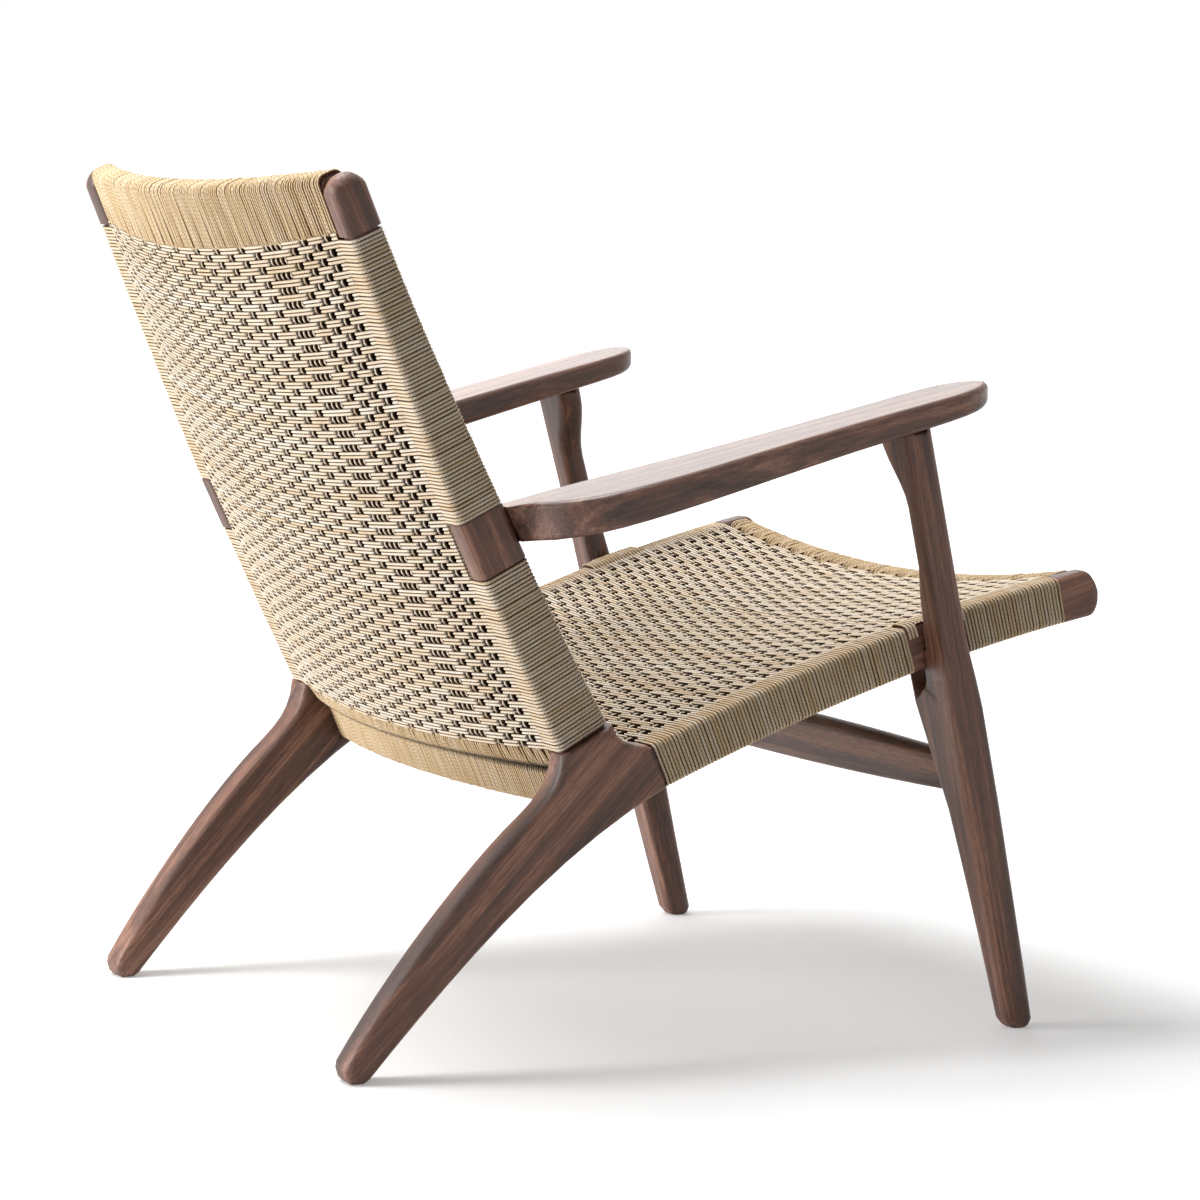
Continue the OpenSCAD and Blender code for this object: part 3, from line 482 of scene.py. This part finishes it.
def weft_of(spot, rows, warps, width, steps, ends=1.0, first=0):
    """The weft of a sheet: cords across it, in pairs that dive under every second warp.
    steps is the least number of points, ends the part of the width that they reach, and
    first the number of pairs before these rows."""
    groups = []
    for parity in (0, 1):
        under = [(x, half) for k, (x, half, strands) in enumerate(warps) if (k + parity) % 2 == 1]
        bends = np.array([-dive - 1, -dive, -0.75 * dive, -0.5 * dive, -0.25 * dive, 0])
        places = [np.concatenate([x - half + bends, [x], x + half - bends[::-1]])
                  for x, half in under]
        places = np.unique(np.concatenate(places + [np.linspace(-width, width, steps)]))
        places = places[np.abs(places) <= width * ends]
        dips = np.zeros(len(places))
        for x, half in under:
            dips = np.maximum(dips, np.clip(1 - (np.abs(places - x) - half) / dive, 0, 1))
        dips = dips * dips * (3 - 2 * dips)
        mine = rows[(np.arange(len(rows)) // 2 + first) % 2 == parity]
        s, t = np.meshgrid(places / width, mine)
        depth = over_depth + (under_depth - over_depth) * dips
        depth = depth + chance.normal(0, 0.12, (len(mine), 1))
        paths = spot(s, t, depth)
        # painted shade: the weft is painted dark where it dives under a warp
        dive_shade = np.broadcast_to(np.minimum(1, 5 * dips), s.shape)
        groups.append((paths, spot(s, t, depth - 1) - paths, dive_shade, False))
    return groups


def warp_of(spot, rows, warps, width):
    """The warp of a sheet: groups of cords along it, which rise between the pairs. In a
    group of two, the first cord lies deeper and is painted dark all along, and the others are
    painted darker where they go under, as painted shade. Each cord has four points to a pair."""
    pairs = len(rows) // 2
    place = np.linspace(-0.5, pairs - 0.5, 4 * pairs + 1)
    longer = np.concatenate([[2 * rows[0] - rows[1]], rows, [2 * rows[-1] - rows[-2]]])
    t = np.interp(place, np.arange(-1, len(rows) + 1) / 2 - 0.25, longer)
    cords, painted_dark = [], []
    for k, (x, half, strands) in enumerate(warps):
        lie = np.cos(np.pi * (place + k))
        reach = half - cord_pitch / 2
        for j, cord in enumerate(np.linspace(-reach, reach, strands)):
            sunk = strands == 2 and j == 0
            high = sunk_high if sunk else warp_high
            depth = (warp_low + high) / 2 + lie * (warp_low - high) / 2
            s = np.full(len(t), (x + cord) / width)
            path = spot(s, t, depth)
            cords.append((path, spot(s, t, depth - 1) - path))
            # painted shade: the sunk cord all along, the others where they go under
            painted_dark.append(np.ones(len(t)) if sunk else (1 + lie) / 2)
    return [group(cords, np.array(painted_dark))]


# half widths of the warps on the rails, and, with their strands, in the sheets, where the
# strands stand apart
warps = [(x, 6.3 if x == wide_warp else 3.1) for x in back_warps]
loose_warps = [(x, 13, 4) if x == wide_warp else (x, 4.2, 2) for x in back_warps]
for side, face in ((-1, "rear"), (1, "front")):
    sheet = back_sheet(side)
    twisted_cord("back_weft_" + face, "back_weave_" + face,
                 weft_of(sheet, sheet_rows, loose_warps, post_in, 41), sides=5, tone=0.5)
    twisted_cord("back_warp_" + face, "back_weave_" + face,
                 warp_of(sheet, sheet_rows, loose_warps, post_in), sides=5, tone=0.5)


# ---- Windings of the back's rails ----
# Filler turns cover the top and the bottom rail from post to post. Between them the warp
# goes over the rail, from the rear sheet to the front one.

rail_round = 6.4
rail_t = 24
strand_pitch = 3.1
top_rail_h, bottom_rail_h = 52, 30
# painted shade in the crease between two rails: how dark the cord is painted on the corner there
crease_shade = np.array([0.95, 0.95, 0.95, 0.6, 0.0])


def rail_turns(centre, up, back, w, h, warps, width, first, last, lower, sag=0.0, crease=None):
    """Closed filler turns round a rail, and open turns of the warp, from sheet to sheet.
    centre gives the rail's middle at x. Its section is w along back and h along up. first
    and last give the ends of the warp. On the sheets' side the turns hang lower in the
    middle, by sag. crease is the number of the corner that faces another rail, where shade
    is painted on the cord."""
    spots, ways = rounded(w - 2 * inset, h - 2 * inset, rail_round, 0, 4)
    part, part_ways = rounded(w - 2 * inset, h - 2 * inset, rail_round, 0, 2)
    if lower:
        part, part_ways = part * [1, -1], part_ways * [1, -1]
    fill_out = placed(0, ways[:, :1] * back + ways[:, 1:] * up)
    warp_out = placed(0, part_ways[:, :1] * back + part_ways[:, 1:] * up)
    warp_out = np.concatenate([warp_out[:1], warp_out, warp_out[-1:]])
    hang = (spots[:, 1:] * (1 if lower else -1) > 0) * sag
    fill, over = [], []
    starts = [-width] + [x + half for x, half in warps]
    ends = [x - half for x, half in warps] + [width]
    for start, end in zip(starts, ends):
        count = int(round((end - start) / cord_pitch))
        for even_x in start + (np.arange(count) + 0.5) * (end - start) / max(count, 1):
            # fillers are laid by hand, not quite evenly, some tight and some slack
            x = even_x + chance.normal(0, 0.22)
            slack = 1 + chance.normal(0, 0.012)
            yz = centre(x) + slack * spots[:, :1] * back + (
                slack * spots[:, 1:] - hang * (1 - (x / width) ** 2)) * up
            fill.append((placed(x, yz), fill_out))
    for middle, half in warps:
        strands = int(round(2 * half / strand_pitch))
        for x in middle + np.linspace(-half + cord_r, half - cord_r, strands):
            yz = centre(x) + part[:, :1] * back + part[:, 1:] * up
            over.append((np.concatenate([first(x), placed(x, yz), last(x)]), warp_out))
    fill_shade, over_shade = np.zeros((4, corner_steps)), np.zeros((2, corner_steps))
    # painted shade on the corner at the crease
    if crease is not None:
        fill_shade[crease] = crease_shade
        over_shade[0] = crease_shade[::-1] if lower else crease_shade
    over_shade = np.concatenate([[0], over_shade.ravel(), [0]])
    return [group(fill, fill_shade.ravel(), closed=True), group(over, over_shade)]


# the middles of the rails at their ends, and their directions
top_t = 0.952
top_end = on_curve(post_curve, top_t) - quarter(way_on_curve(post_curve, top_t)) * 3
rail_way = way_on_curve(post_curve, 1)
foot_way = way_on_curve(post_curve, 0)
bottom_end = post_curve[0] - (foot_way + quarter(foot_way)) * 8.5


def bowed(end, bow, width):
    """A function that gives the middle of a bowed rail at x."""
    return lambda x: end + bow * (1 - (x / width) ** 2)


def sheet_end(spot, t, width):
    """A function that gives the end of the warp at x, 3 mm below a sheet that ends at t."""
    return lambda x: spot(np.array([x / width]), np.array([t]), np.array([3.0]))


rear, front = back_sheet(-1), back_sheet(1)
twisted_cord("top_rail_winding", "top_rail_wrap", rail_turns(
    bowed(top_end, top_bow, post_in), rail_way, -quarter(rail_way), rail_t, top_rail_h,
    warps, post_in, sheet_end(rear, sheet_rows[-1], post_in),
    sheet_end(front, sheet_rows[-1], post_in), lower=False, sag=row_sag))
twisted_cord("bottom_rail_winding", "bottom_rail_wrap", rail_turns(
    bowed(bottom_end, bottom_bow, post_in), foot_way, -quarter(foot_way), rail_t, bottom_rail_h,
    warps, post_in, sheet_end(rear, back_rows[0], post_in),
    sheet_end(front, back_rows[0], post_in), lower=True, sag=row_sag, crease=3))


# ---- Seat windings and weave ----
# The seat is made as the back is: cord wound round the side rails and woven between
# them in two sheets, with the warp running from the front rail to the rear one.

# depth and height of the side rails' middle line; they spread towards the front
rail_curve = np.array([[68.5, 242], [-71.5, 301], [-200, 343], [-334, 368]])
side_x = 277.5
toe = math.tan(math.radians(3.4))
seat_rail_h = 40
side_round = 4.6
seat_bow = np.array([28.0, 0.0])
front_bow = np.array([0.0, -22.0])
# the rear rows end at the rear legs, and the others go on round the side rails
rear_row, first_row, last_row = -0.066, 0.006, 0.9385
seat_rows = evenly(rail_curve, first_row, last_row)
rear_rows = evenly(rail_curve, rear_row, first_row)
# the fork of the front leg holds the rail at leg_y: half of the leg's width there, and
# half of the gap that the winding leaves for it on the rail's outer face
leg_y, leg_half, gap_half = -190, 17.5, 26
in_gap = np.abs(on_curve(rail_curve, seat_rows)[:, 0] - leg_y) < gap_half


def side_at(depth):
    """How far out the side rails' middle planes are at a depth."""
    return side_x - toe * depth


def seat_sheet(side):
    """A function that gives points of the top (+1) or bottom (-1) sheet of the seat."""
    def spot(s, t, depth):
        mid, up = on_curve(rail_curve, t), -quarter(way_on_curve(rail_curve, t))
        bow = seat_bow + (front_bow - seat_bow) * t[..., None] / last_row
        yz = mid + up * side * (seat_rail_h / 2 - depth)[..., None] + bow * (1 - s * s)[..., None]
        return placed(s * (side_at(mid[..., 0]) - rail_t / 2), yz)
    return spot


def seat_winding(sign):
    """Turns round one side rail, from the top sheet over its outer face to the bottom one."""
    spots, ways = outer_turn(rail_t - 2 * inset, seat_rail_h - 2 * inset, side_round, -2,
                             -rail_t / 2)
    turns = []
    wound = seat_rows[~in_gap]
    for t in wound + chance.normal(0, 0.0003, len(wound)):
        mid, up = on_curve(rail_curve, t), -quarter(way_on_curve(rail_curve, t))
        turns.append((placed(sign * (side_at(mid[0]) + spots[:, 0]), mid + spots[:, 1:] * up),
                      placed(sign * ways[:, 0], ways[:, 1:] * up)))
    # the outer face of these turns gets painted shade
    return group(turns, outer_face_shade)


def seat_gap_turns(sign):
    """Turns at the front leg, which lie over the rail. Beside the leg they go on over the
    rail's top edge and end on its outer face, and at the leg they end on the edge."""
    start = [[-12, 18.4], [-10.5, 20.3], [-6, 21.6]]
    beside_leg = np.array(start + [[6, 21.6], [11.2, 20.2], [12.8, 17], [12.9, 10.5]])
    at_leg = np.array(start + [[3, 21.6], [6, 21.6], [9, 21.5], [11, 20.4]])
    out, rise = np.linspace(0, 0.5, len(at_leg)), np.linspace(1, 0.8, len(at_leg))
    turns = []
    for t in seat_rows[in_gap]:
        mid, up = on_curve(rail_curve, t), -quarter(way_on_curve(rail_curve, t))
        reach = beside_leg if abs(mid[0] - leg_y) > leg_half else at_leg
        turns.append((placed(sign * (side_at(mid[0]) + reach[:, 0]), mid + reach[:, 1:] * up),
                      placed(sign * out, rise[:, None] * up)))
    return group(turns, 0)


for sign, side in ((1, "left"), (-1, "right")):
    twisted_cord("seat_winding_" + side, "seat_rail_wrap_" + side,
                 [seat_winding(sign), seat_gap_turns(sign)], tone=0.25)

# half of the seat's width where its warps are set out, and the warps as on the rails and
# as in the sheets
seat_width = 268.0
seat_warps = [(x, 3.1) for x in np.linspace(-252, 252, 23)]
loose_seat_warps = [(x, 5.4, 2) for x, half in seat_warps]
all_rows = np.concatenate([rear_rows, seat_rows])
for side, face in ((1, "top"), (-1, "bottom")):
    sheet = seat_sheet(side)
    twisted_cord("seat_weft_" + face, "seat_weave_" + face,
                 weft_of(sheet, rear_rows, loose_seat_warps, seat_width, 43, ends=0.97)
                 + weft_of(sheet, seat_rows, loose_seat_warps, seat_width, 43,
                           first=len(rear_rows) // 2),
                 sides=5, tone=0.5)
    twisted_cord("seat_warp_" + face, "seat_weave_" + face,
                 warp_of(sheet, all_rows, loose_seat_warps, seat_width), sides=5, tone=0.5)


# ---- Windings of the seat's rails ----
# Filler turns cover the front and the rear rail from side to side, and between them the
# warp goes over the rail, from the top sheet to the bottom one.

# the front rail's middle lies 325 mm forward on the side rails' curve; the rear rail's is
# on the curve's straight way back, where the legs' inner faces stand closer together
front_y, rear_back = -325, 45
leg_in, leg_t = 2.5, 33
near_front = np.linspace(0.9, 1, 200)
front_t = np.interp(-front_y, -on_curve(rail_curve, near_front)[:, 0], near_front)
front_way, rear_way = way_on_curve(rail_curve, front_t), way_on_curve(rail_curve, 0)
front_end = on_curve(rail_curve, front_t)
front_half = side_at(front_y) - rail_t / 2
rear_end = on_curve(rail_curve, 0) - rear_way * rear_back
rear_half = side_at(rear_end[0]) - leg_in - leg_t / 2
top_sheet, bottom_sheet = seat_sheet(1), seat_sheet(-1)
front_warps = [(x * front_half / seat_width, half) for x, half in seat_warps]
rear_warps = [(x * rear_half / seat_width, half) for x, half in seat_warps]


def seat_rail_turns(end, bow, way, warps, width, t, ahead, crease=None):
    """Turns round the front rail (ahead is 1) or the rear rail (-1) of the seat. The warp
    ends in the sheets at t. For rail_turns, up is here the side that the warp goes round,
    so the rail's height and thickness change places."""
    return rail_turns(bowed(end, bow, width), way * ahead, -quarter(way), seat_rail_h, rail_t,
                      warps, width, sheet_end(top_sheet, t, width),
                      sheet_end(bottom_sheet, t, width), lower=False, crease=crease)


twisted_cord("front_rail_winding", "front_rail_wrap", seat_rail_turns(
    front_end, front_bow, front_way, front_warps, front_half, seat_rows[-1], 1))
twisted_cord("rear_rail_winding", "rear_rail_wrap", seat_rail_turns(
    rear_end, seat_bow, rear_way, rear_warps, rear_half, rear_rows[0], -1, crease=0))


# ---- Floor and light ----
# A plain pale floor runs out to a white distance, under three large soft lamps, behind the
# chair, above it and at its left, and a pale even sky.

floor_mesh = bpy.data.meshes.new("floor")
floor_mesh.from_pydata([(-14, -14, 0), (14, -14, 0), (14, 14, 0), (-14, 14, 0)], [], [(0, 1, 2, 3)])
floor = bpy.data.objects.new("floor", floor_mesh)
bpy.context.scene.collection.objects.link(floor)
pale_floor, floor_shader = new_material("matt_white_floor")
floor_shader.inputs["Base Color"].default_value = colour("#efefef")
floor_shader.inputs["Roughness"].default_value = 0.9
floor_shader.inputs["Specular IOR Level"].default_value = 0.1
ground = add(pale_floor, "ShaderNodeTexCoord")
distance = add(pale_floor, "ShaderNodeVectorMath", {"operation": "LENGTH"},
               {0: ground.outputs["Object"]})
whiter = add(pale_floor, "ShaderNodeMapRange",
             {"interpolation_type": "SMOOTHSTEP", "From Min": 0.8, "From Max": 4.5, "To Min": 0.25},
             {"Value": distance.outputs["Value"]})


def seen_rays(owner):
    """An output that is 1 for rays of the camera, of a mirror and of glass, and 0 for the
    rays that only light other things."""
    rays = add(owner, "ShaderNodeLightPath")
    mirrored = add(owner, "ShaderNodeMath", {"operation": "MAXIMUM"},
                   {0: rays.outputs["Is Camera Ray"], 1: rays.outputs["Is Glossy Ray"]})
    seen = add(owner, "ShaderNodeMath", {"operation": "MAXIMUM"},
               {0: mirrored.outputs["Value"], 1: rays.outputs["Is Transmission Ray"]})
    return seen.outputs["Value"]


# the floor glows a little where it is seen, more so in the distance
lift = add(pale_floor, "ShaderNodeMath", {"operation": "MULTIPLY"},
           {0: seen_rays(pale_floor), 1: whiter.outputs["Result"]})
floor_shader.inputs["Emission Color"].default_value = (1, 1, 1, 1)
pale_floor.node_tree.links.new(lift.outputs["Value"], floor_shader.inputs["Emission Strength"])
floor_mesh.materials.append(pale_floor)

world = bpy.data.worlds.new("studio")
bpy.context.scene.world = world
world.use_nodes = True
world.node_tree.nodes.clear()
# white where it is seen, and 0.26 of that as light on the chair
level = add(world, "ShaderNodeMapRange", {"To Min": 0.26}, {"Value": seen_rays(world)})
sky = add(world, "ShaderNodeBackground", {"Color": (1, 1, 1, 1)},
          {"Strength": level.outputs["Result"]})
add(world, "ShaderNodeOutputWorld", links={"Surface": sky.outputs["Background"]})


def lamp(name, place, size, power):
    """A square lamp of a size in metres that looks at the middle of the seat."""
    light = bpy.data.lights.new(name, "AREA")
    light.energy = power
    light.size = size
    lamp_object = bpy.data.objects.new(name, light)
    lamp_object.location = place
    aim = Vector((0, 0, 0.35)) - Vector(place)
    lamp_object.rotation_euler = aim.to_track_quat("-Z", "Y").to_euler()
    bpy.context.scene.collection.objects.link(lamp_object)


lamp("rear_lamp", (1.3, 3.2, 1.2), 1.8, 112)
lamp("top_lamp", (0.6, 0.5, 2.7), 1.3, 66)
lamp("far_lamp", (3.2, -1.3, 1.7), 2.2, 28)

bpy.context.scene.view_settings.view_transform = "Standard"
